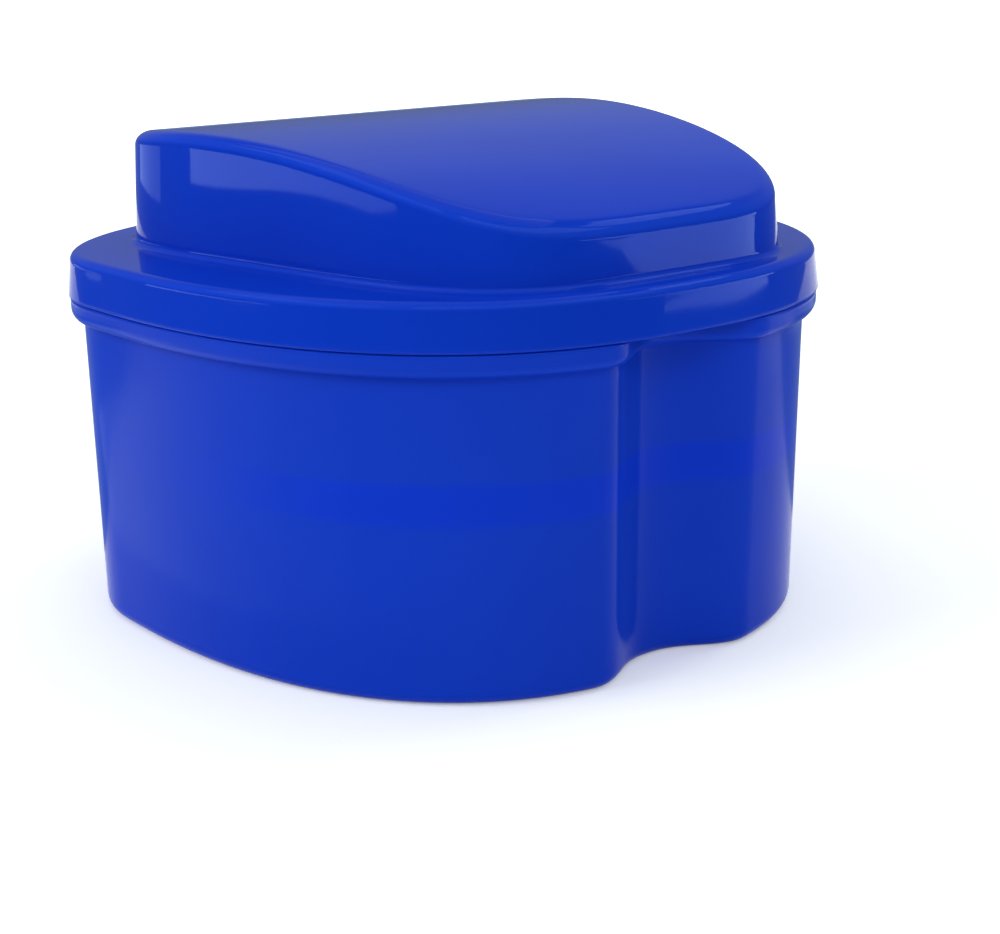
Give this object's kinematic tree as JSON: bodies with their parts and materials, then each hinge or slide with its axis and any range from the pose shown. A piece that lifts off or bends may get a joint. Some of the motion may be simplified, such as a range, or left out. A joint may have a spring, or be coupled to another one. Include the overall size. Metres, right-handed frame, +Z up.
{
  "type": "denture case",
  "caption": "Tapered denture tub with a front finger recess, a lift-off lid with a sloping dome, and a slotted rinsing basket with an upright handle",
  "frame": {"origin": "On the flat resting face, under the middle of the brim's outline", "axes": "+X across the case to the right as seen from the front, +Y from the front with the finger recess to the rear, +Z up"},
  "size_m": [0.095, 0.095, 0.065],
  "materials": {
    "container": "Smooth moulded polypropylene, saturated blue, slightly translucent",
    "lid": "Highly polished moulded plastic, saturated blue",
    "basket": "Smooth moulded polypropylene, blue"
  },
  "bodies": {
    "tub": {"container": "container"},
    "cover": {"lid": "lid"},
    "strainer": {"basket": "basket"}
  },
  "joints": [
    {"name": "lid_lift", "type": "slide", "parent": "tub", "child": "cover", "axis": [0, 0, 1], "range_m": [0, 0.12]},
    {"name": "basket_lift", "type": "slide", "parent": "tub", "child": "strainer", "axis": [0, 0, 1], "range_m": [0, 0.06]}
  ],
  "couplings": [
    {"joint": "basket_lift", "follows": "lid_lift", "ratio": 0.5}
  ]
}
